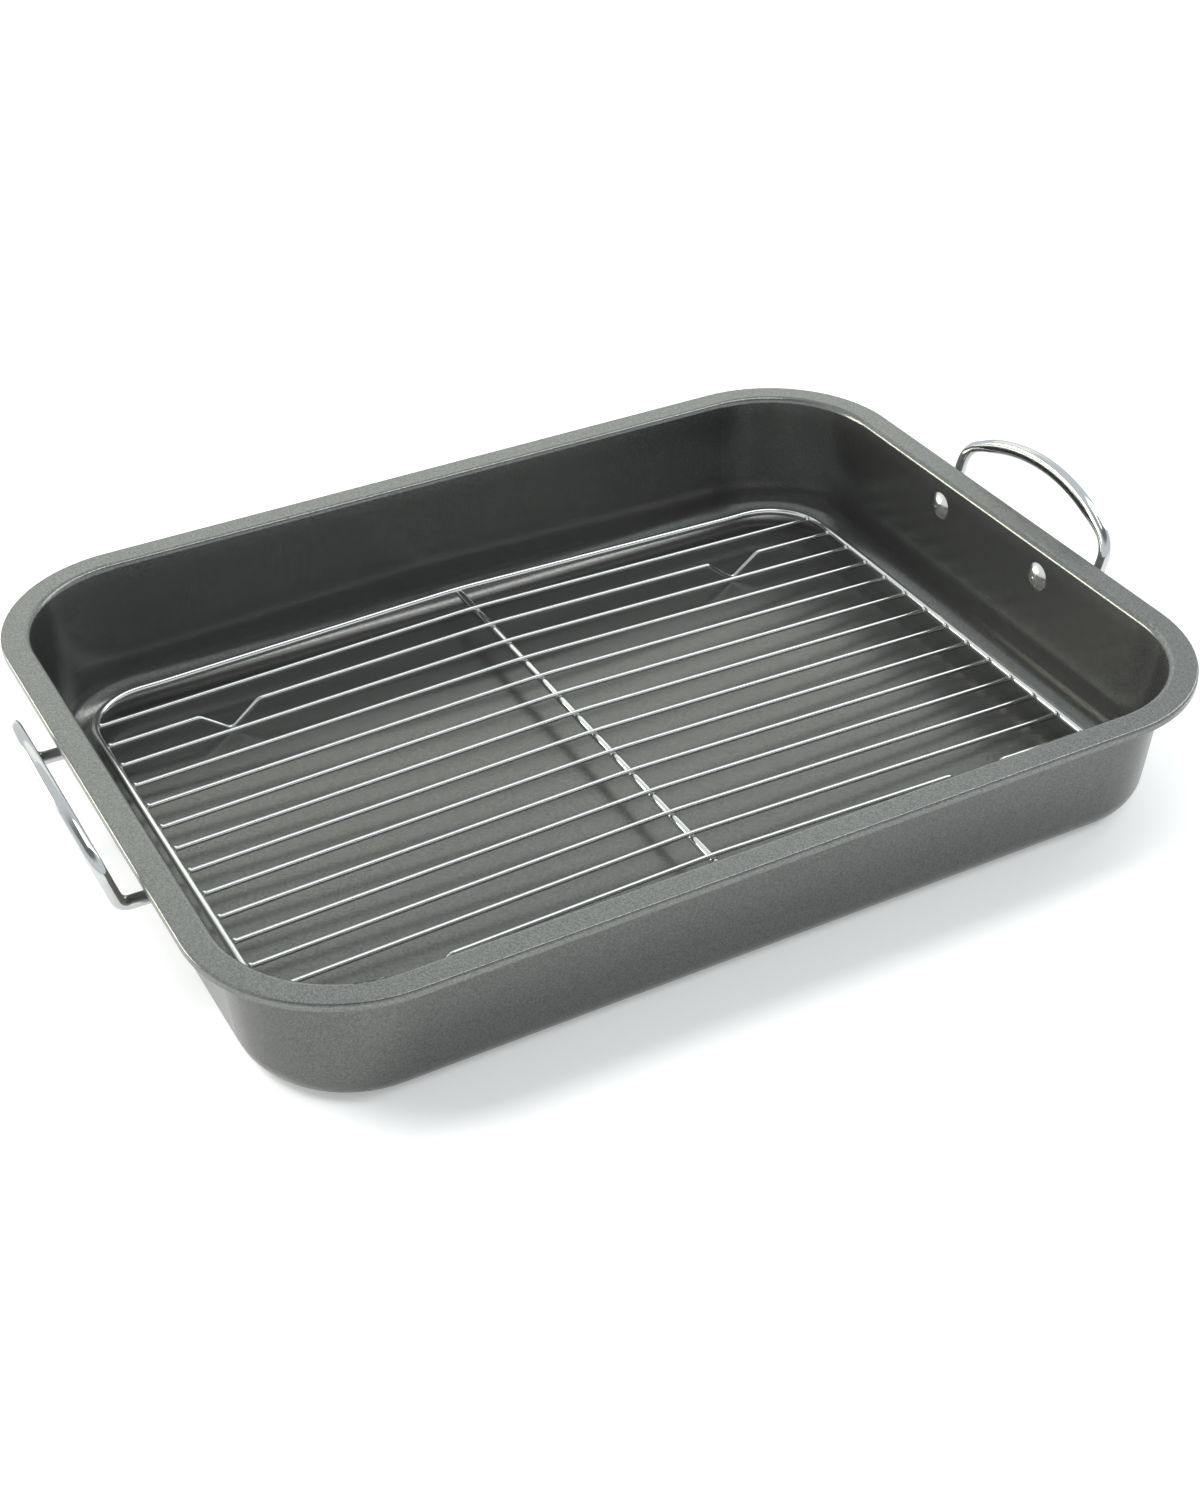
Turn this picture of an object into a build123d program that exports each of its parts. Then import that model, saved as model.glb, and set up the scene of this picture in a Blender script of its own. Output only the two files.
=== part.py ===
from build123d import *
import math
import os

# A roasting pan with a lift-out wire rack, in millimetres, +Z up.
# The origin is under the middle of the pan, on the surface that the pan stands on.
# The long side runs along X, and a riveted handle stands at each end of X.

# The pan is one deep-drawn steel sheet with a flat rim.
rim_length = 430.0
rim_width = 326.0
rim_height = 62.0
rim_corner_radius = 62.0
sheet = 1.0
flange_width = 12.0
lip_drop = 3.0
rim_edge_round = 1.2
mouth_round = 2.5
wall_slope_share = 0.095
floor_bend_radius = 12.0

# The handles are bent from round rod, with a flattened grip and flattened feet.
rod_radius = 2.75
leg_drop = 17.0
leg_spacing = 102.0
handle_standoff = 6.2
handle_lean = 15.8
bow_rise = 35.6
bow_corner_radius = 12.0
grip_radius = 94.8
grip_width = 6.8
grip_thickness = 5.2
grip_blend = 12.0
leg_bend_radius = 5.0
foot_bend_radius = 4.5
foot_width = 11.0
foot_thickness = 2.4
foot_edge_round = 0.7
foot_taper = 4.5
foot_straight = 1.0

# The rivets hold the feet to the end walls, with the broad head inside the pan.
rivet_drop = 13.5
rivet_from_leg = 15.0
rivet_shank_radius = 2.5
rivet_hole_gap = 0.05
rivet_head_radius = 6.4
rivet_head_height = 2.2
rivet_tail_radius = 4.2
rivet_tail_height = 1.8

# The rack is a welded grid of round wire. One wire near each long side has bent feet,
# with the outer wires between it and the frame.
rack_length = 366.0
rack_width = 265.0
rack_corner_radius = 28.0
rack_shift = -2.5
frame_wire_radius = 1.8
grid_wire_radius = 1.05
bar_radius = 1.7
wire_count = 15
outer_wire_count = 1
edge_gap = 19.8
frame_height = 10.3
frame_rise = 4.2
wire_rise = 5.0
wire_lift = 0.4
rise_bend_radius = 300.0
rise_start = 8.0
foot_from_middle = 127.0
foot_angle = 38.0
foot_top_bend = 3.5
foot_tip_bend = 3.0
foot_gap = 0.3
weld_sink = 0.3

# One overrun serves every cut, and one margin every search for edges by place.
cut_over = 10.0
edge_search = 0.3

wall_angle = math.atan(wall_slope_share)
lean = math.radians(handle_lean)
leg_height = rim_height - leg_drop
leg_y = leg_spacing / 2
rivet_height = rim_height - rivet_drop
rivet_y = leg_y - rivet_from_leg
wire_pitch = (rack_width - 2 * edge_gap) / (wire_count - 1)


def inner_inset(height):
    """How far the wall's inner face lies inside the rim's edge at a height."""
    return flange_width + wall_slope_share * (rim_height - height)


def outer_inset(height):
    """The same for the outer face, one sheet thickness further out."""
    return inner_inset(height) - sheet / math.cos(wall_angle)


def rim_shape(inset, height):
    """The rim's outline, drawn in by an inset, on a level plane."""
    length = rim_length - 2 * inset
    width = rim_width - 2 * inset
    outline = RectangleRounded(length, width, rim_corner_radius - inset)
    return Plane(origin=(0, 0, height)) * outline


def tub(inset_at, bottom, top, bend):
    """A tapered solid between two heights, with its bottom edge rounded."""
    shapes = [rim_shape(inset_at(z), z).face() for z in (bottom, top)]
    solid = loft(shapes, ruled=True)
    return fillet(solid.edges().group_by(Axis.Z)[0], bend)


def rim_plate():
    """The flat rim with its turned-down lip, still closed over the mouth."""
    lip_foot = rim_height - lip_drop
    plate = extrude(rim_shape(0, lip_foot), lip_drop)
    hollow = extrude(rim_shape(sheet, lip_foot - cut_over), cut_over + lip_drop - sheet)
    plate = fillet(plate.edges().group_by(Axis.Z)[-1], rim_edge_round)
    return plate - hollow


def mouth_edges(solid, height, inset):
    """The closed chain of edges around the mouth, at a height and an inset."""
    reach_x = rim_length / 2 - inset
    reach_y = rim_width / 2 - inset
    low = height - edge_search
    high = height + edge_search
    return [
        edge
        for edge in solid.edges().filter_by_position(Axis.Z, low, high)
        if abs(edge.center().X) < reach_x + edge_search
        and abs(edge.center().Y) < reach_y + edge_search
    ]


def end_wall(y, height):
    """A plane on the right end wall's outer face, with its Z pointing outwards."""
    place = (rim_length / 2 - outer_inset(height), y, height)
    out = (math.cos(wall_angle), 0, -math.sin(wall_angle))
    return Plane(origin=place, x_dir=(0, 1, 0), z_dir=out)


def on_both_ends(make):
    """A solid made at the right end and its mirror image at the left end."""
    right = make()
    return right, mirror(right, about=Plane.YZ)


def rivet_hole(y):
    hole = Cylinder(rivet_shank_radius + rivet_hole_gap, 2 * cut_over)
    return end_wall(y, rivet_height) * hole


def pan_body():
    shell = tub(outer_inset, 0, rim_height - sheet, floor_bend_radius) + rim_plate()
    under = mouth_edges(shell, rim_height - sheet, outer_inset(rim_height - sheet))
    shell = fillet(under, mouth_round - sheet)
    shell -= tub(inner_inset, sheet, rim_height + cut_over, floor_bend_radius - sheet)
    shell = fillet(mouth_edges(shell, rim_height, inner_inset(rim_height)), mouth_round)
    for y in (rivet_y, -rivet_y):
        for hole in on_both_ends(lambda: rivet_hole(y)):
            shell -= hole
    return shell


def dome_profile(radius, height, seat):
    """Half of a low dome above a seat height, as a face to turn about Z."""
    top = (0, seat + height)
    rim = (radius, seat)
    arc = TangentArc(top, rim, tangent=(radius, 0))
    return make_face([arc, Line(rim, (0, seat)), Line((0, seat), top)])


def rivet(y):
    """One rivet: inner dome, shank through wall and foot, and clinched tail."""
    head = dome_profile(rivet_head_radius, -rivet_head_height, -sheet)
    tail = dome_profile(rivet_tail_radius, rivet_tail_height, foot_thickness)
    grip = foot_thickness + sheet
    shank = Cylinder(rivet_shank_radius, grip, align=(Align.CENTER, Align.CENTER, Align.MIN))
    shank = Pos(0, 0, -sheet) * shank
    heads = [revolve(Plane.XZ * profile, Axis.Z) for profile in (head, tail)]
    return end_wall(y, rivet_height) * (heads[0] + shank + heads[1])


def wire_along(path, radius):
    """Round wire swept along a path that starts along its first edge."""
    start = Plane(origin=path @ 0, z_dir=path % 0)
    return sweep(start * Circle(radius), path=path)


def bow_point(y, rise):
    """A point of the bow's leaning plane, its rise measured along the plane."""
    foot_x = rim_length / 2 + handle_standoff
    return Vector(foot_x + rise * math.sin(lean), y, leg_height + rise * math.cos(lean))


def section_plane(place, along, across):
    return Plane(origin=place, x_dir=across, z_dir=along)


def grip_point(turn):
    """A point of the grip's arc, with the turn measured from its top."""
    centre = bow_rise - grip_radius
    y = grip_radius * math.sin(turn)
    return bow_point(y, centre + grip_radius * math.cos(turn))


def grip_section(turn):
    """The plane across the grip at a turn, with X pointing away from the pan."""
    centre = bow_point(0, bow_rise - grip_radius)
    outward = (grip_point(turn) - centre).normalized()
    normal = Vector(math.cos(lean), 0, -math.sin(lean))
    return section_plane(grip_point(turn), normal.cross(outward), outward)


def foot_plane():
    """The end wall's outer face at the far rivet, with X along the handle's foot."""
    wall = end_wall(rivet_y, rivet_height)
    along = end_wall(leg_y, leg_height).origin - wall.origin
    return Plane(origin=wall.origin, x_dir=along, z_dir=wall.z_dir)


def foot_reach():
    """How far the foot's line runs from the rivet to the corner at the leg."""
    return (end_wall(leg_y, leg_height).origin - foot_plane().origin).length


def rod_end():
    """Where the round rod stops and its flattening towards the rivet starts."""
    return foot_reach() - foot_bend_radius - foot_straight


def foot():
    """The flattened end of the rod, with its rivet hole."""
    wall = foot_plane()
    reach = rod_end() - foot_taper
    shape = Pos(reach / 2, 0, 0) * SlotCenterToCenter(reach, foot_width)
    plate = extrude(shape, foot_thickness)
    plate = fillet(plate.edges().group_by(Axis.Z)[-1], foot_edge_round)
    flat = Pos(0, foot_thickness / 2) * Ellipse(foot_width / 2 - foot_edge_round, foot_thickness / 2)
    round_end = Pos(0, rod_radius) * Circle(rod_radius)
    across = Plane(origin=(reach, 0, 0), x_dir=(0, 1, 0), z_dir=(1, 0, 0))
    taper = loft([(across * flat).face(), (across.offset(foot_taper) * round_end).face()])
    return wall * (plate + taper) - rivet_hole(rivet_y)


def leg_path(corner_rise):
    """The centre line from the rod's end on the wall up to the bow's corner."""
    wall = foot_plane()
    return FilletPolyline(
        wall.from_local_coords((rod_end(), 0, rod_radius)),
        wall.from_local_coords((foot_reach(), 0, rod_radius)),
        bow_point(leg_y, 0),
        bow_point(leg_y, corner_rise),
        radius=(foot_bend_radius, leg_bend_radius),
    )


def handle():
    """The right handle: two feet, two legs and the bow between them."""
    corner_y = leg_y - bow_corner_radius
    corner_reach = grip_radius - bow_corner_radius
    grip_turn = math.asin(corner_y / corner_reach)
    corner_rise = bow_rise - grip_radius + corner_reach * math.cos(grip_turn)
    blend_turn = grip_turn - grip_blend / grip_radius
    legs = leg_path(corner_rise)
    corner = TangentArc(legs @ 1, grip_point(grip_turn), tangent=legs % 1)
    side = wire_along(Wire(legs.edges() + corner.edges()), rod_radius)
    round_end = grip_section(grip_turn) * Circle(rod_radius)
    oval = Ellipse(grip_width / 2, grip_thickness / 2)
    side += loft([round_end.face(), (grip_section(blend_turn) * oval).face()])
    side += foot()
    centre = bow_point(0, bow_rise - grip_radius)
    hub = Axis(centre, Vector(math.cos(lean), 0, -math.sin(lean)))
    grip = revolve(grip_section(blend_turn) * oval, hub, 2 * math.degrees(blend_turn))
    return grip + side + mirror(side, about=Plane.XZ)


def frame_path():
    """The closed centre line of the rack's frame, raised at mid length."""
    x = rack_length / 2
    y = rack_width / 2
    foot_x = x - rack_corner_radius - rise_start
    top = frame_height + frame_rise
    points = []
    radii = []
    for side in (1, -1):
        points += [(side * x, -side * y, frame_height), (side * x, side * y, frame_height)]
        radii += [rack_corner_radius, rack_corner_radius]
        points += [(side * foot_x, side * y, frame_height), (0, side * y, top)]
        points += [(-side * foot_x, side * y, frame_height)]
        radii += [rise_bend_radius] * 3
    return FilletPolyline(*points, radius=radii, close=True)


def rack_frame():
    path = Wire(frame_path().edges())
    return Pos(0, rack_shift, 0) * wire_along(path, frame_wire_radius)


def wire_place(number):
    """The Y of a grid wire, counted from the far side."""
    return rack_shift + wire_pitch * ((wire_count + 1) / 2 - number)


def wire_end(y):
    """The X at which a grid wire meets the frame's centre line."""
    past = abs(y - rack_shift) - (rack_width / 2 - rack_corner_radius)
    if past <= 0:
        return rack_length / 2
    reach = math.sqrt(rack_corner_radius**2 - past**2)
    return rack_length / 2 - rack_corner_radius + reach


def wire_height(x, end):
    """The height of a grid wire's centre line before its bends are rounded."""
    return frame_height + wire_lift + wire_rise * (1 - abs(x) / end)


def straight_wire(number):
    y = wire_place(number)
    end = wire_end(y)
    points = [(x, y, wire_height(x, end)) for x in (-end, 0, end)]
    return wire_along(FilletPolyline(*points, radius=rise_bend_radius), grid_wire_radius)


def foot_points(y, end, side):
    """The three corners of one V-shaped foot, from the rack's end inwards."""
    slope = math.radians(foot_angle)
    rounding = foot_tip_bend * (1 / math.cos(slope) - 1)
    tip = sheet + foot_gap + grid_wire_radius - rounding
    spread = (wire_height(foot_from_middle, end) - tip) / math.tan(slope)
    outer = foot_from_middle + spread
    inner = foot_from_middle - spread
    return [
        (side * outer, y, wire_height(outer, end)),
        (side * foot_from_middle, y, tip),
        (side * inner, y, wire_height(inner, end)),
    ]


def foot_wire(number):
    """A grid wire that dips to the pan's floor near each end."""
    y = wire_place(number)
    end = wire_end(y)
    left = foot_points(y, end, -1)
    right = foot_points(y, end, 1)
    points = [(-end, y, wire_height(end, end)), *left, (0, y, wire_height(0, end))]
    points += [*reversed(right), (end, y, wire_height(end, end))]
    bends = [foot_top_bend, foot_tip_bend, foot_top_bend]
    radii = [*bends, rise_bend_radius, *bends]
    return wire_along(FilletPolyline(*points, radius=radii), grid_wire_radius)


def center_bar():
    """The bar under the middle of the grid, before the wires notch it."""
    end = wire_end(rack_shift)
    top = wire_height(0, end) - grid_wire_radius + weld_sink
    y = rack_width / 2
    path = Line((0, rack_shift - y, top - bar_radius), (0, rack_shift + y, top - bar_radius))
    return wire_along(path, bar_radius)


def rack():
    """Every piece of the rack by name, with the ends and crossings fitted."""
    frame = rack_frame()
    pieces = {"rack_frame": frame}
    for number in range(1, wire_count + 1):
        if number == outer_wire_count + 1:
            pieces["rack_foot_wire_far"] = foot_wire(number) - frame
        elif number == wire_count - outer_wire_count:
            pieces["rack_foot_wire_near"] = foot_wire(number) - frame
        else:
            pieces[f"rack_wire_{number:02d}"] = straight_wire(number) - frame
    bar = center_bar() - frame
    for name, wire in pieces.items():
        if name != "rack_frame":
            bar -= wire
    pieces["rack_center_bar"] = bar
    return pieces


def pan():
    """The pan with its handles and rivets, by name."""
    pieces = {"pan_body": pan_body()}
    pieces["handle_right"], pieces["handle_left"] = on_both_ends(handle)
    for place, y in (("far", rivet_y), ("near", -rivet_y)):
        right, left = on_both_ends(lambda: rivet(y))
        pieces[f"rivet_right_{place}"] = right
        pieces[f"rivet_left_{place}"] = left
    return pieces


os.makedirs("parts", exist_ok=True)
for name, piece in {**pan(), **rack()}.items():
    solids = piece.solids()
    print(name, len(solids), "solid", round(sum(s.volume for s in solids), 1), "mm3")
    export_step(solids[0] if len(solids) == 1 else Compound(solids), f"parts/{name}.step")
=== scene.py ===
# %% [markdown]
# # A roasting pan with a lift-out rack
# The real object is a pressed steel pan with a dark non-stick coating, two chrome
# handles that are riveted to its end walls, and a rack that is welded from chromed
# wire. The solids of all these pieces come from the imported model. This lesson loads
# them, gives each its finish, adds the small things that solids leave out, such as
# the welds, and then lights and frames them as in a studio picture. Lengths are in
# metres, so a measure in millimetres is written with the factor MM.

# %% Load the frame
import bpy
import math
from mathutils import Matrix, Vector


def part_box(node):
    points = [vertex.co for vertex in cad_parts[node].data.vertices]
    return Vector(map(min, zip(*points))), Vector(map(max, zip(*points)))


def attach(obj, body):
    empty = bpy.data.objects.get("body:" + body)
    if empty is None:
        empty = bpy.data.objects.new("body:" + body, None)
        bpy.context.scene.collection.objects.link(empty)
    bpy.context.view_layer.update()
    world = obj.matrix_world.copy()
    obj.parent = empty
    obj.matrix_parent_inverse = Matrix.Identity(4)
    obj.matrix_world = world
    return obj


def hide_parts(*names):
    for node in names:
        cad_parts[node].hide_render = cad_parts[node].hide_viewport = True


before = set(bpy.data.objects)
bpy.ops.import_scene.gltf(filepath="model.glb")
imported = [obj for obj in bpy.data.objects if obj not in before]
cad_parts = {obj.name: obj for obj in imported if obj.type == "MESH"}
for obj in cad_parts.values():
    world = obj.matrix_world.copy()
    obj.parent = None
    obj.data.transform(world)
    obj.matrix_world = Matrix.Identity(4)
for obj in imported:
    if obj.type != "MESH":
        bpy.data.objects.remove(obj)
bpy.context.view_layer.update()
MM = 0.001
print("nodes:", len(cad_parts))

# %% [markdown]
# ## Helpers for materials
# Every finish is built from nodes, so that it stays sharp at any distance. A small
# helper that adds a node and sets its sockets keeps the cells below short.


# %% A helper that adds nodes
def add_node(tree, kind, settings=(), **sockets):
    """A new node of a kind, with its properties and its unlinked sockets set."""
    node = tree.nodes.new(kind)
    for name, value in dict(settings).items():
        setattr(node, name, value)
    for name, value in sockets.items():
        node.inputs[name.replace("_", " ")].default_value = value
    return node


def new_material(name):
    """A node material with a Principled shader on its output, and nothing else."""
    material = bpy.data.materials.new(name)
    material.use_nodes = True
    tree = material.node_tree
    tree.nodes.clear()
    output = tree.nodes.new("ShaderNodeOutputMaterial")
    shader = tree.nodes.new("ShaderNodeBsdfPrincipled")
    tree.links.new(shader.outputs["BSDF"], output.inputs["Surface"])
    return material, tree, shader


def new_group(name, inputs, outputs):
    """A shader node group with named float, colour or vector sockets."""
    group = bpy.data.node_groups.new(name, "ShaderNodeTree")
    for label, kind, value in inputs:
        socket = group.interface.new_socket(label, in_out="INPUT", socket_type=kind)
        if value is not None:
            socket.default_value = value
    for label, kind in outputs:
        group.interface.new_socket(label, in_out="OUTPUT", socket_type=kind)
    entry = group.nodes.new("NodeGroupInput")
    leave = group.nodes.new("NodeGroupOutput")
    return group, entry, leave


def use_group(tree, group, **sockets):
    """A group placed in a material, with its own values."""
    return add_node(tree, "ShaderNodeGroup", {"node_tree": group}, **sockets)


# %% [markdown]
# ## Fine metal flecks
# The coating holds tiny bright flecks, which the eye reads as a soft sparkle in the
# grey. A Voronoi texture gives each small cell a random grey of its own. The group
# turns that grey into a factor around one, so a material can multiply its colour.

# %% The fleck group
FLOAT = "NodeSocketFloat"
VECTOR = "NodeSocketVector"


def fleck_group():
    """Random grey cells of a given size, as a shade that varies around one."""
    inputs = [("Size", FLOAT, 0.5 * MM), ("Strength", FLOAT, 0.1)]
    group, entry, leave = new_group("metal_flecks", inputs, [("Shade", FLOAT)])
    place = group.nodes.new("ShaderNodeTexCoord")
    density = add_node(group, "ShaderNodeMath", {"operation": "DIVIDE"})
    density.inputs[0].default_value = 1
    cells = add_node(group, "ShaderNodeTexVoronoi", Randomness=1)
    grey = group.nodes.new("ShaderNodeSeparateColor")
    centred = add_node(group, "ShaderNodeMath", {"operation": "SUBTRACT"})
    centred.inputs[1].default_value = 0.5
    shade = add_node(group, "ShaderNodeMath", {"operation": "MULTIPLY_ADD"})
    shade.inputs[2].default_value = 1
    link = group.links.new
    link(entry.outputs["Size"], density.inputs[1])
    link(place.outputs["Object"], cells.inputs["Vector"])
    link(density.outputs[0], cells.inputs["Scale"])
    link(cells.outputs["Color"], grey.inputs[0])
    link(grey.outputs[0], centred.inputs[0])
    link(centred.outputs[0], shade.inputs[0])
    link(entry.outputs["Strength"], shade.inputs[1])
    link(shade.outputs[0], leave.inputs["Shade"])
    return group


flecks = fleck_group()
print("group:", flecks.name)

# %% [markdown]
# ## A sheet that isn't quite flat
# Pressed sheet keeps faint, wide waves. They bend reflections a little, and without
# them a glossy floor looks like a mirror from a computer. One smooth noise, tens of
# millimetres wide, is enough as a height.


# %% The wave group
def wave_group():
    """A smooth noise of a given width, as a height for a Bump node."""
    inputs = [("Width", FLOAT, 40 * MM), ("Stretch", VECTOR, (1, 1, 1))]
    group, entry, leave = new_group("pressed_waves", inputs, [("Height", FLOAT)])
    place = group.nodes.new("ShaderNodeTexCoord")
    stretched = add_node(group, "ShaderNodeVectorMath", {"operation": "MULTIPLY"})
    density = add_node(group, "ShaderNodeMath", {"operation": "DIVIDE"})
    density.inputs[0].default_value = 1
    noise = add_node(group, "ShaderNodeTexNoise", Detail=0)
    link = group.links.new
    link(place.outputs["Object"], stretched.inputs[0])
    link(entry.outputs["Stretch"], stretched.inputs[1])
    link(entry.outputs["Width"], density.inputs[1])
    link(stretched.outputs[0], noise.inputs["Vector"])
    link(density.outputs[0], noise.inputs["Scale"])
    link(noise.outputs["Fac"], leave.inputs["Height"])
    return group


waves = wave_group()
print("group:", waves.name)


# %% [markdown]
# ## The non-stick coating
# It is a dark warm grey with metal flecks under a smooth skin. A part metallic base
# gives the depth of the flecks, and the skin's own gloss mirrors the rack softly. The
# rim is painted a lighter grey than the walls. This is painted light, standing in for the
# light that reaches the open rim and the top of the bend but not the shaded floor and
# walls. A smooth step over the height of the bend makes that change.

# %% The coating's material
COATING_GREY = (0.138, 0.14, 0.133)
FLECK_SIZE = 0.45 * MM
WAVE_WIDTH = 22 * MM
BEND_BOTTOM = 52 * MM
BEND_TOP = 61 * MM
# Painted light: how much lighter the rim and the top of the bend are painted than the walls
RIM_PAINTED_LIGHT = 1.37


def coating_material():
    """A part metallic grey with flecks and waves, and painted light on the rim."""
    material, tree, shader = new_material("nonstick_coating")
    shader.inputs["Metallic"].default_value = 0.78
    shader.inputs["Roughness"].default_value = 0.24
    shader.inputs["IOR"].default_value = 1.5
    fleck = use_group(tree, flecks, Size=FLECK_SIZE, Strength=0.5)
    wave = use_group(tree, waves, Width=WAVE_WIDTH)
    grey = add_node(tree, "ShaderNodeMix", {"data_type": "RGBA", "blend_type": "MULTIPLY"})
    grey.inputs[0].default_value = 1
    grey.inputs[6].default_value = (*COATING_GREY, 1)
    bump = add_node(tree, "ShaderNodeBump", Strength=0.1, Distance=0.1 * MM)
    place = tree.nodes.new("ShaderNodeTexCoord")
    parts = tree.nodes.new("ShaderNodeSeparateXYZ")
    # Painted light on the rim: the grey grows lighter over the bend's height, standing in for the
    # light that falls there
    rim_painted_light = add_node(tree, "ShaderNodeMapRange", {"interpolation_type": "SMOOTHSTEP"})
    rim_painted_light.inputs["From Min"].default_value = BEND_BOTTOM
    rim_painted_light.inputs["From Max"].default_value = BEND_TOP
    rim_painted_light.inputs["To Min"].default_value = 1
    rim_painted_light.inputs["To Max"].default_value = RIM_PAINTED_LIGHT
    # The flecks' own tone times the rim's painted light
    shade = add_node(tree, "ShaderNodeMath", {"operation": "MULTIPLY"})
    link = tree.links.new
    link(place.outputs["Object"], parts.inputs[0])
    link(parts.outputs["Z"], rim_painted_light.inputs["Value"])
    link(fleck.outputs["Shade"], shade.inputs[0])
    link(rim_painted_light.outputs["Result"], shade.inputs[1])
    link(shade.outputs[0], grey.inputs[7])
    link(grey.outputs[2], shader.inputs["Base Color"])
    link(wave.outputs["Height"], bump.inputs["Height"])
    link(bump.outputs["Normal"], shader.inputs["Normal"])
    return material


coating = coating_material()
print("material:", coating.name)

# %% [markdown]
# ## Chrome and satin steel
# Handles and wires are chromed steel: nearly a mirror, with a trace of the drawn
# rod's grain that softens the reflections. The rivets are plain steel, and their
# heads carry fine scratches that run out from the middle. The angle about the head
# drives a noise in one dimension, so every scratch is straight.

# %% The chrome material
GRAIN_SPREAD = 0.3


def chrome_material(name, colour, roughness, grain):
    """A metal whose gloss and surface vary a little over a grain of a given width."""
    material, tree, shader = new_material(name)
    shader.inputs["Base Color"].default_value = (*colour, 1)
    shader.inputs["Metallic"].default_value = 1
    rough = add_node(tree, "ShaderNodeMapRange")
    rough.inputs["To Min"].default_value = roughness * (1 - GRAIN_SPREAD)
    rough.inputs["To Max"].default_value = roughness * (1 + GRAIN_SPREAD)
    wave = use_group(tree, waves, Width=grain)
    bump = add_node(tree, "ShaderNodeBump", Strength=0.1, Distance=0.05 * MM)
    link = tree.links.new
    link(wave.outputs["Height"], rough.inputs["Value"])
    link(rough.outputs["Result"], shader.inputs["Roughness"])
    link(wave.outputs["Height"], bump.inputs["Height"])
    link(bump.outputs["Normal"], shader.inputs["Normal"])
    return material


# %% The rivets' material
RIVET_FROM_MIDDLE = 36 * MM
RIVET_HEIGHT = 48.5 * MM


def rivet_material(name, colour, roughness):
    """Satin steel whose fine scratches run out from the middle of each rivet head."""
    material, tree, shader = new_material(name)
    shader.inputs["Base Color"].default_value = (*colour, 1)
    shader.inputs["Metallic"].default_value = 1
    shader.inputs["Roughness"].default_value = roughness
    place = tree.nodes.new("ShaderNodeTexCoord")
    parts = tree.nodes.new("ShaderNodeSeparateXYZ")
    side = add_node(tree, "ShaderNodeMath", {"operation": "ABSOLUTE"})
    across = add_node(tree, "ShaderNodeMath", {"operation": "SUBTRACT"})
    across.inputs[1].default_value = RIVET_FROM_MIDDLE
    above = add_node(tree, "ShaderNodeMath", {"operation": "SUBTRACT"})
    above.inputs[1].default_value = RIVET_HEIGHT
    angle = add_node(tree, "ShaderNodeMath", {"operation": "ARCTAN2"})
    in_one_dimension = {"noise_dimensions": "1D"}
    scratches = add_node(tree, "ShaderNodeTexNoise", in_one_dimension, Scale=9, Detail=3)
    bump = add_node(tree, "ShaderNodeBump", Strength=0.35, Distance=0.05 * MM)
    link = tree.links.new
    link(place.outputs["Object"], parts.inputs[0])
    link(parts.outputs["Y"], side.inputs[0])
    link(side.outputs[0], across.inputs[0])
    link(parts.outputs["Z"], above.inputs[0])
    link(above.outputs[0], angle.inputs[0])
    link(across.outputs[0], angle.inputs[1])
    link(angle.outputs[0], scratches.inputs["W"])
    link(scratches.outputs["Fac"], bump.inputs["Height"])
    link(bump.outputs["Normal"], shader.inputs["Normal"])
    return material


# %% Mix the metals
handle_chrome = chrome_material("handle_chrome", (0.54, 0.545, 0.54), 0.1, 3 * MM)
wire_chrome = chrome_material("wire_chrome", (0.66, 0.66, 0.65), 0.13, 2 * MM)
rivet_satin = rivet_material("rivet_satin", (0.7, 0.69, 0.65), 0.2)
weld_steel = chrome_material("weld_steel", (0.62, 0.58, 0.48), 0.3, 1 * MM)
print("metals:", handle_chrome.name, wire_chrome.name, rivet_satin.name, weld_steel.name)

# %% [markdown]
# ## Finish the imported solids
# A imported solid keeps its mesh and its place, because the motion is worked out from
# them. Only the material in its slot changes, and its name tells which one it gets.

# %% Give the nodes their finish
for name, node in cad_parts.items():
    if name == "pan_body":
        finish = coating
    elif name.startswith("handle"):
        finish = handle_chrome
    elif name.startswith("rivet"):
        finish = rivet_satin
    else:
        finish = wire_chrome
    node.data.materials.clear()
    node.data.materials.append(finish)
print("finished nodes:", len(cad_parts))

# %% [markdown]
# ## Handles bent from one rod
# The real handle is a round rod. Its middle is pressed to a flatter grip with round
# edges, its ends are hammered flat for the rivets, and the bow leans away from the
# pan. A lofted solid shows a step where the grip turns to a round rod. So the visible
# handle is drawn out from one ring of edges, as a rod is drawn: spun round each bend,
# extruded along each straight, and changed a little at every step where the section
# changes. Half of it is made, from the top of the grip to the rivet, and mirrored for
# the other half.

# %% The handle's sizes
pan_high = Vector(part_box("pan_body")[1])
RIM_END = pan_high.x
RIM_TOP = pan_high.z
SHEET = 1 * MM
FLANGE = 12 * MM
WALL_ANGLE = math.atan(0.095)
ROD_RADIUS = 2.75 * MM
BOW_FOOT = Vector((RIM_END + 6 * MM, 0, RIM_TOP - 17 * MM))
BOW_LEAN = math.radians(15.8)
BOW_RISE = 35.5 * MM
BOW_CORNER = 12 * MM
GRIP_RADIUS = 94.8 * MM
GRIP_HALVES = (2.55 * MM, 3.35 * MM)
GRIP_EDGE = 2.1 * MM
GRIP_BLEND = 14 * MM
LEG_Y = 51 * MM
LEG_BEND = 5 * MM
RIVET_Y = LEG_Y - 15 * MM
RIVET_Z = RIM_TOP - 13.5 * MM
FOOT_BEND = 4.5 * MM
FOOT_OVAL = (1.4 * MM, 5.5 * MM)
FOOT_TAPER = 6 * MM
FOOT_TIP_TURN = math.radians(88)
FOOT_TIP_SHARE = 0.4
EDGE_STEPS = 5
GRIP_STEPS = 20
BLEND_STEPS = 8
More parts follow.
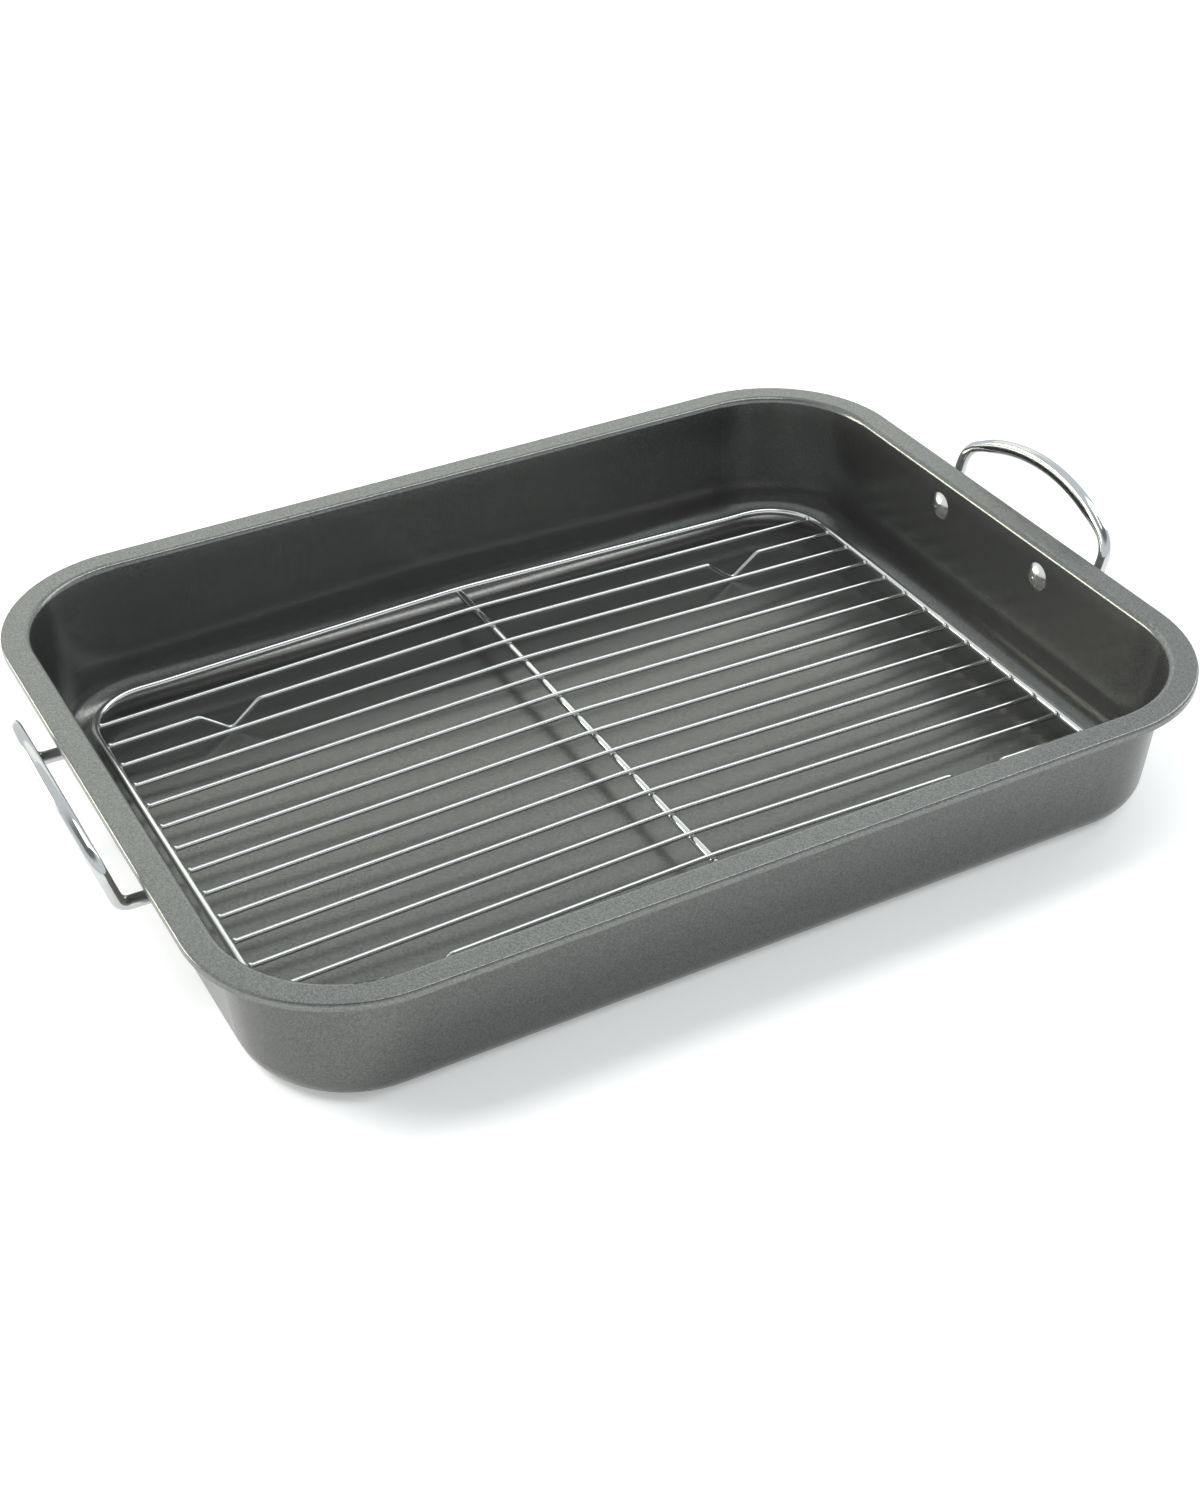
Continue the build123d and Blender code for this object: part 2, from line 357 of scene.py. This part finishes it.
CORNER_STEPS = 12
BEND_STEPS = 8
FOOT_STEPS = 8
grip_reach = BOW_FOOT.x + BOW_RISE * math.sin(BOW_LEAN)
print("the grip lies", round(grip_reach / MM, 1), "mm from the middle of the pan")

# %% [markdown]
# ## Tools for drawing out a rod
# In edit mode, an extrude or a spin leaves the new end of the rod selected, so the
# next operator carries on from there. Each tool below takes the middle of that open
# end and gives back where it went, and so the rod is a chain of short calls. The
# operators turn about center_override, which holds without a window.


# %% Helpers for drawing out a rod
def deselect_all():
    """Leaves edit mode and selects nothing."""
    if bpy.context.mode != "OBJECT":
        bpy.ops.object.mode_set(mode="OBJECT")
    bpy.ops.object.select_all(action="DESELECT")


def start_ring(name, place, halves, edge):
    """A rectangle with round corners across Y, left selected in edit mode."""
    deselect_all()
    bpy.ops.mesh.primitive_plane_add(size=2, location=place, rotation=(math.pi / 2, 0, 0))
    ring = bpy.context.object
    ring.name = name
    ring.data.name = name
    bpy.ops.object.transform_apply(location=True, rotation=True, scale=True)
    bpy.ops.object.mode_set(mode="EDIT")
    bpy.ops.mesh.select_all(action="SELECT")
    bpy.ops.transform.resize(value=(halves[0], 1, halves[1]), center_override=place)
    bpy.ops.mesh.delete(type="ONLY_FACE")
    bpy.ops.mesh.select_all(action="SELECT")
    bpy.ops.mesh.bevel(affect="VERTICES", offset=edge, segments=EDGE_STEPS)
    bpy.ops.mesh.select_all(action="SELECT")
    return ring


def extrude_to(place, target):
    """Draws the ring out straight, and returns where it now is."""
    bpy.ops.mesh.extrude_region_move(TRANSFORM_OT_translate={"value": target - place})
    return target


def turn_ring(place, centre, axis, angle, steps=1):
    """Spins the ring right-handed about an axis, and returns where it now is."""
    bpy.ops.mesh.spin(steps=steps, angle=-angle, center=centre, axis=axis)
    return centre + Matrix.Rotation(angle, 3, axis) @ (place - centre)


def scale_ring(place, axes, old, new):
    """Changes the ring's two half sizes, which lie along the first two axes."""
    bpy.ops.transform.resize(
        value=(new[0] / old[0], new[1] / old[1], 1),
        orient_type="GLOBAL",
        orient_matrix=Matrix(axes).transposed(),
        orient_matrix_type="GLOBAL",
        center_override=place,
    )


def round_corner(place, corner, target, radius):
    """Goes straight to a corner, rounds it, and faces the target."""
    before = (corner - place).normalized()
    after = (target - corner).normalized()
    turn = before.angle(after)
    reach = radius * math.tan(turn / 2)
    axis = before.cross(after).normalized()
    start = extrude_to(place, corner - before * reach)
    return turn_ring(start, start + axis.cross(before) * radius, axis, turn, BEND_STEPS)


def eased(share):
    """A share from 0 to 1 that starts and ends gently."""
    return share * share * (3 - 2 * share)


def between(start, end, share):
    """A pair of sizes part of the way from one pair to another."""
    return tuple(a + (b - a) * eased(share) for a, b in zip(start, end))


def round_off(place, mean_radius, radius, before, after):
    """Takes the ring one step nearer to a circle of a radius about its place."""
    size = radius / mean_radius - 1
    grow = (1 + size * eased(after)) / (1 + size * eased(before))
    step = 1 if after == 1 else 1 - (1 - eased(after)) / (1 - eased(before))
    bpy.ops.transform.tosphere(value=step, center_override=place)
    bpy.ops.transform.resize(value=(grow, grow, grow), center_override=place)


# %% [markdown]
# ## From the grip to the rivet
# The end wall leans outwards, so the foot's place and direction are worked out on the
# wall's own face. The bow is drawn upright first and then leant over as a whole. The
# leg and the foot follow from its open end.


# %% Where the foot lies on the end wall
def wall_place(y, z):
    """A point on the outer face of the right end wall."""
    inset = FLANGE + (RIM_TOP - z) * math.tan(WALL_ANGLE) - SHEET / math.cos(WALL_ANGLE)
    return Vector((RIM_END - inset, y, z))


WALL_OUT = Vector((math.cos(WALL_ANGLE), 0, -math.sin(WALL_ANGLE)))
FOOT_START = wall_place(LEG_Y, BOW_FOOT.z)
FOOT_END = wall_place(RIVET_Y, RIVET_Z)
FOOT_ALONG = (FOOT_END - FOOT_START).normalized()
print("foot length:", round((FOOT_END - FOOT_START).length / MM, 1), "mm")


# %% Draw the bow, from the top of the grip to the leg
def draw_bow():
    """The grip's pressed arc, its blend to a round rod, and the corner above the leg."""
    x_axis = Vector((1, 0, 0))
    hub = BOW_FOOT + Vector((0, 0, BOW_RISE - GRIP_RADIUS))
    corner_reach = GRIP_RADIUS - BOW_CORNER
    grip_turn = math.asin((LEG_Y - BOW_CORNER) / corner_reach)
    blend_turn = GRIP_BLEND / GRIP_RADIUS
    place = hub + Vector((0, 0, GRIP_RADIUS))
    rod = start_ring("handle_rod_right", place, GRIP_HALVES, GRIP_EDGE)
    rod.update_from_editmode()
    reaches = [(point.co - place).length for point in rod.data.vertices]
    mean_radius = sum(reaches) / len(reaches)
    place = turn_ring(place, hub, x_axis, blend_turn - grip_turn, GRIP_STEPS)
    for step in range(BLEND_STEPS):
        place = turn_ring(place, hub, x_axis, -blend_turn / BLEND_STEPS)
        shares = (step / BLEND_STEPS, (step + 1) / BLEND_STEPS)
        round_off(place, mean_radius, ROD_RADIUS, *shares)
    centre = hub + (place - hub) * (corner_reach / GRIP_RADIUS)
    place = turn_ring(place, centre, x_axis, grip_turn - math.pi / 2, CORNER_STEPS)
    bpy.ops.mesh.select_all(action="SELECT")
    bpy.ops.transform.rotate(value=-BOW_LEAN, orient_axis="Y", center_override=BOW_FOOT)
    return rod, BOW_FOOT + Matrix.Rotation(BOW_LEAN, 3, "Y") @ (place - BOW_FOOT)


def select_open_ring(rod, place):
    """Selects the rod's open edge nearest to a place, and nothing else."""
    bpy.ops.mesh.select_all(action="DESELECT")
    bpy.ops.mesh.select_mode(type="EDGE")
    bpy.ops.object.mode_set(mode="OBJECT")
    faces_at = {}
    for face in rod.data.polygons:
        for key in face.edge_keys:
            faces_at[key] = faces_at.get(key, 0) + 1
    points = rod.data.vertices
    for edge in rod.data.edges:
        near = (points[edge.vertices[0]].co - place).length < 2 * ROD_RADIUS
        edge.select = near and faces_at[edge.key] == 1
    bpy.ops.object.mode_set(mode="EDIT")


# %% Draw the leg and the foot
def draw_leg(place):
    """Down the leg, under the rim, and round onto the end wall."""
    bow_corner = BOW_FOOT + Vector((0, LEG_Y, 0))
    wall_corner = FOOT_START + WALL_OUT * ROD_RADIUS
    place = round_corner(place, bow_corner, wall_corner, LEG_BEND)
    return round_corner(place, wall_corner, wall_corner + FOOT_ALONG, FOOT_BEND)


def draw_foot(place):
    """Flattens the rod onto the wall, and ends it round about the rivet."""
    axes = (WALL_OUT, FOOT_ALONG.cross(WALL_OUT), FOOT_ALONG)
    oval = (ROD_RADIUS, ROD_RADIUS)
    sink = WALL_OUT * (FOOT_OVAL[0] - ROD_RADIUS)
    start = place
    for step in range(1, FOOT_STEPS + 1):
        share = step / FOOT_STEPS
        flatter = between((ROD_RADIUS, ROD_RADIUS), FOOT_OVAL, share)
        place = extrude_to(place, start + FOOT_ALONG * (FOOT_TAPER * share) + sink * eased(share))
        scale_ring(place, axes, oval, flatter)
        oval = flatter
    middle = FOOT_END + WALL_OUT * FOOT_OVAL[0]
    place = extrude_to(place, middle)
    for step in range(1, FOOT_STEPS + 1):
        turn = FOOT_TIP_TURN * step / FOOT_STEPS
        thinner = FOOT_TIP_SHARE + (1 - FOOT_TIP_SHARE) * math.cos(turn)
        narrower = (FOOT_OVAL[0] * thinner, FOOT_OVAL[1] * math.cos(turn))
        place = extrude_to(place, middle + FOOT_ALONG * (FOOT_OVAL[1] * math.sin(turn)))
        scale_ring(place, axes, oval, narrower)
        oval = narrower
    bpy.ops.mesh.edge_face_add()


# %% Make both handles
def finish_shell(piece):
    """Merges doubles, turns the faces outwards and shades them smooth."""
    bpy.ops.mesh.select_all(action="SELECT")
    bpy.ops.mesh.remove_doubles(threshold=0.01 * MM)
    bpy.ops.mesh.normals_make_consistent(inside=False)
    bpy.ops.object.mode_set(mode="OBJECT")
    bpy.ops.object.shade_smooth()
    return piece


def make_handle():
    """One handle: half of it drawn out, and the other half as its mirror image."""
    rod, place = draw_bow()
    select_open_ring(rod, place)
    draw_foot(draw_leg(place))
    bpy.ops.mesh.select_all(action="SELECT")
    bpy.ops.mesh.duplicate()
    bpy.ops.transform.resize(value=(1, -1, 1), center_override=(0, 0, 0))
    return finish_shell(rod)


def mirrored(piece, name):
    """A copy of a piece on the other end of the pan, with its own mesh."""
    deselect_all()
    piece.select_set(True)
    bpy.context.view_layer.objects.active = piece
    bpy.ops.object.duplicate()
    copy = bpy.context.object
    copy.name = name
    bpy.ops.object.mode_set(mode="EDIT")
    bpy.ops.mesh.select_all(action="SELECT")
    bpy.ops.transform.resize(value=(-1, 1, 1), center_override=(0, 0, 0))
    return finish_shell(copy)


handle_right = make_handle()
handle_left = mirrored(handle_right, "handle_rod_left")
for handle, node in ((handle_right, "handle_right"), (handle_left, "handle_left")):
    handle.data.materials.clear()
    handle.data.materials.append(handle_chrome)
    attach(handle, "pan")
    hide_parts(node)
    print(handle.name, len(handle.data.polygons), "faces")

# %% [markdown]
# ## Weld beads
# The wires are spot welded: to the frame at their ends, and to the bar under their
# middle. The welded metal swells out a little and keeps a yellowish heat tint. One
# small bead is shaped from a sphere with a flared skirt, and copied to each weld. The
# places come from the wires' own boxes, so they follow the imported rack.


# %% A bead, and its copies
BEAD_SEGMENTS = 12
BEAD_RINGS = 8
SKIRT_BELOW = 0.2
SKIRT_FLARE = (1.25, 1.25, 0.8)


def shape_bead(name, place, size):
    """A sphere pressed to a low dome with a flared skirt, at a place."""
    deselect_all()
    bpy.ops.mesh.primitive_uv_sphere_add(
        segments=BEAD_SEGMENTS, ring_count=BEAD_RINGS, radius=1, location=place
    )
    bead = bpy.context.object
    bead.name = name
    bead.data.name = name
    bpy.ops.object.transform_apply(location=True, rotation=True, scale=True)
    bpy.ops.object.mode_set(mode="EDIT")
    bpy.ops.mesh.select_all(action="SELECT")
    bpy.ops.transform.resize(value=size, center_override=place)
    bpy.ops.mesh.select_all(action="DESELECT")
    bpy.ops.object.mode_set(mode="OBJECT")
    for point in bead.data.vertices:
        point.select = point.co.z < place.z - SKIRT_BELOW * size[2]
    bpy.ops.object.mode_set(mode="EDIT")
    bpy.ops.mesh.select_mode(type="VERT")
    bpy.ops.transform.resize(value=SKIRT_FLARE, center_override=place)
    bpy.ops.object.mode_set(mode="OBJECT")
    bpy.ops.object.shade_smooth()
    return bead


def copy_beads(bead, place, others):
    """Copies a bead from its place to the others, and joins them all into one piece."""
    beads = [bead]
    for other in others:
        deselect_all()
        bead.select_set(True)
        bpy.context.view_layer.objects.active = bead
        bpy.ops.object.duplicate()
        bpy.ops.transform.translate(value=other - place)
        beads.append(bpy.context.object)
    deselect_all()
    for one in beads:
        one.select_set(True)
    bpy.context.view_layer.objects.active = bead
    bpy.ops.object.join()
    bpy.ops.object.transform_apply(location=True, rotation=True, scale=True)
    return bead


# %% Weld the rack
wire_names = sorted(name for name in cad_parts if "wire" in name)
wire_boxes = [[Vector(corner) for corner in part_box(name)] for name in wire_names]
WIRE_END_Z = 11.2 * MM
WELD_INSET = 1.2 * MM
BAR_SINK = 0.3 * MM
END_BEAD = (1.3 * MM, 1.3 * MM, 1.2 * MM)
BAR_BEAD = (1.2 * MM, 1.5 * MM, 0.7 * MM)
bar_high = Vector(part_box("rack_center_bar")[1])
end_places = []
bar_places = []
for low, high in wire_boxes:
    y = (low.y + high.y) / 2
    for x in (low.x + WELD_INSET, high.x - WELD_INSET):
        end_places.append(Vector((x, y, WIRE_END_Z)))
    bar_places.append(Vector((0, y, bar_high.z - BAR_SINK)))
print("welds:", len(end_places), "on the frame and", len(bar_places), "on the bar")
end_bead = shape_bead("frame_welds", end_places[0], END_BEAD)
frame_welds = copy_beads(end_bead, end_places[0], end_places[1:])
bar_bead = shape_bead("bar_welds", bar_places[0], BAR_BEAD)
bar_welds = copy_beads(bar_bead, bar_places[0], bar_places[1:])
for welds, finish in ((frame_welds, wire_chrome), (bar_welds, weld_steel)):
    welds.data.materials.clear()
    welds.data.materials.append(finish)
    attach(welds, "rack")
    print(welds.name, len(welds.data.polygons), "faces")

# %% [markdown]
# ## The floor and the background
# The pan stands on a white sweep. The floor is white through its own colour, and a
# little glow, which only the camera's rays and mirrored rays meet, lifts it to paper
# white while its shadow stays. The world is white to the camera too. Mirrors see it
# white low down and at the back, and darker overhead in front, like the dim ceiling
# of a studio, because gloss needs something dark to mirror.

# %% The floor
FLOOR_WIDTH = 8
FLOOR_GAP = 0.2 * MM
FLOOR_GLOW = 0.3
bpy.ops.object.select_all(action="DESELECT")
bpy.ops.mesh.primitive_plane_add(size=FLOOR_WIDTH, location=(0, 0, -FLOOR_GAP))
floor = bpy.context.object
floor.name = "studio_floor"
floor_paint, tree, shader = new_material("white_floor")
shader.inputs["Base Color"].default_value = (0.9, 0.9, 0.9, 1)
shader.inputs["Roughness"].default_value = 0.9
rays = tree.nodes.new("ShaderNodeLightPath")
glow = add_node(tree, "ShaderNodeMath", {"operation": "MAXIMUM"})
lift = add_node(tree, "ShaderNodeMath", {"operation": "MULTIPLY"})
lift.inputs[1].default_value = FLOOR_GLOW
shader.inputs["Emission Color"].default_value = (1, 1, 1, 1)
tree.links.new(rays.outputs["Is Camera Ray"], glow.inputs[0])
tree.links.new(rays.outputs["Is Glossy Ray"], glow.inputs[1])
tree.links.new(glow.outputs[0], lift.inputs[0])
tree.links.new(lift.outputs[0], shader.inputs["Emission Strength"])
floor.data.materials.append(floor_paint)
print("floor:", FLOOR_WIDTH, "m wide")

# %% The background
COOL = (0.9, 0.97, 1)
CEILING_FROM = 0.5
CEILING_TO = 0.85
FRONT_TO = -0.15
BACK_FROM = 0.4


def sky(strength, overhead, tint):
    """A world that is white to the camera, and a dim ceiling in front to mirrors."""
    world = bpy.data.worlds.new("studio_world")
    bpy.context.scene.world = world
    world.use_nodes = True
    tree = world.node_tree
    background = tree.nodes["Background"]
    rays = tree.nodes.new("ShaderNodeLightPath")
    direction = tree.nodes.new("ShaderNodeTexCoord")
    height = tree.nodes.new("ShaderNodeSeparateXYZ")
    ceiling = add_node(tree, "ShaderNodeMapRange", {"interpolation_type": "SMOOTHSTEP"})
    ceiling.inputs["From Min"].default_value = CEILING_FROM
    ceiling.inputs["From Max"].default_value = CEILING_TO
    ceiling.inputs["To Min"].default_value = 1
    behind = add_node(tree, "ShaderNodeMapRange", {"interpolation_type": "SMOOTHSTEP"})
    behind.inputs["From Min"].default_value = FRONT_TO
    behind.inputs["From Max"].default_value = BACK_FROM
    behind.inputs["To Min"].default_value = overhead
    behind.inputs["To Max"].default_value = 1
    mirrored_too = add_node(tree, "ShaderNodeMath", {"operation": "MAXIMUM"})
    mirrored_sky = add_node(tree, "ShaderNodeMapRange")
    mirrored_sky.inputs["To Min"].default_value = strength
    level = add_node(tree, "ShaderNodeMapRange")
    level.inputs["To Max"].default_value = 1
    link = tree.links.new
    link(direction.outputs["Generated"], height.inputs[0])
    link(height.outputs["Y"], behind.inputs["Value"])
    link(height.outputs["Z"], ceiling.inputs["Value"])
    link(behind.outputs["Result"], ceiling.inputs["To Max"])
    link(ceiling.outputs["Result"], mirrored_sky.inputs["To Max"])
    link(rays.outputs["Is Glossy Ray"], mirrored_too.inputs[0])
    link(rays.outputs["Is Transmission Ray"], mirrored_too.inputs[1])
    link(mirrored_too.outputs[0], mirrored_sky.inputs["Value"])
    link(mirrored_sky.outputs["Result"], level.inputs["To Min"])
    link(rays.outputs["Is Camera Ray"], level.inputs["Value"])
    link(level.outputs["Result"], background.inputs["Strength"])
    colour = add_node(tree, "ShaderNodeMix", {"data_type": "RGBA"})
    colour.inputs[6].default_value = (*tint, 1)
    colour.inputs[7].default_value = (1, 1, 1, 1)
    link(rays.outputs["Is Camera Ray"], colour.inputs[0])
    link(colour.outputs[2], background.inputs["Color"])
    return world


world = sky(0.38, 0.25, COOL)
print("world:", world.name)

# %% [markdown]
# ## Soft lamps
# A picture of metal is mostly a picture of its lamps, so each stands where one kind
# of surface mirrors it. A long strip overhead draws the white line along the wires
# and the light band in the floor's bend. The wide lamp at the back lies in the flat
# rim and the floor, and the low ones at the left and the right in the bends of the
# rim. Two more, in front and over the left, only give plain light and the shadow:
# mirrors don't see them, because the real coating shows no image of such lamps.


# %% A soft lamp
def soft_lamp(name, direction, distance, size, radiance, colour=(1, 1, 1), in_mirrors=True):
    """A wide lamp that faces the pan, with its brightness given as radiance."""
    data = bpy.data.lights.new(name, "AREA")
    data.color = colour
    data.shape = "RECTANGLE"
    data.size, data.size_y = size
    data.energy = radiance * math.pi * size[0] * size[1]
    lamp = bpy.data.objects.new(name, data)
    bpy.context.scene.collection.objects.link(lamp)
    place = Vector(direction).normalized() * distance
    facing = (-place).to_track_quat("-Z", "Y").to_matrix().to_4x4()
    lamp.matrix_world = Matrix.Translation(place) @ facing
    lamp.visible_camera = False
    lamp.visible_glossy = in_mirrors
    return lamp


# %% Place the lamps
WARM = (1, 0.98, 0.8)
soft_lamp("lamp_top", (0.47, 0.06, 0.88), 1.6, (0.4, 1.7), 4)
soft_lamp("lamp_front", (0.45, -0.5, 0.74), 1.6, (0.9, 0.22), 10, COOL, in_mirrors=False)
soft_lamp("lamp_over_left", (-0.55, 0.12, 0.83), 1.6, (0.6, 0.5), 15, in_mirrors=False)
soft_lamp("lamp_back", (0.159, 0.819, 0.552), 2.0, (2.1, 0.7), 0.6, WARM)
soft_lamp("lamp_left", (-0.72, 0.66, 0.2), 1.8, (0.9, 0.45), 10, WARM)
soft_lamp("lamp_right", (0.9, 0.11, 0.42), 1.6, (0.3, 0.5), 3)
print("lamps:", len(bpy.data.lights))

# %% [markdown]
# ## The camera
# The picture's own perspective gives the camera: a lens of about 67 mm, from the
# left front and above. It looks from one point to another, and its small roll is
# turned about its own line of sight.

# %% The camera
LENS = 67.51
VIEW_TARGET = Vector((-33.09, -68.30, 62.0)) * MM
VIEW_POINT = Vector((-365.9, -686.0, 562.0)) * MM
VIEW_ROLL = math.radians(-0.633)
camera_data = bpy.data.cameras.new("camera")
camera_data.lens = LENS
camera_data.sensor_width = 36
camera_data.sensor_fit = "HORIZONTAL"
camera = bpy.data.objects.new("camera", camera_data)
bpy.context.scene.collection.objects.link(camera)
facing = (VIEW_TARGET - VIEW_POINT).to_track_quat("-Z", "Y").to_matrix().to_4x4()
camera.matrix_world = Matrix.Translation(VIEW_POINT) @ facing @ Matrix.Rotation(VIEW_ROLL, 4, "Z")
bpy.context.scene.camera = camera
bpy.context.scene.view_settings.view_transform = "Standard"
print("camera:", round((VIEW_POINT - VIEW_TARGET).length, 2), "m from its target")
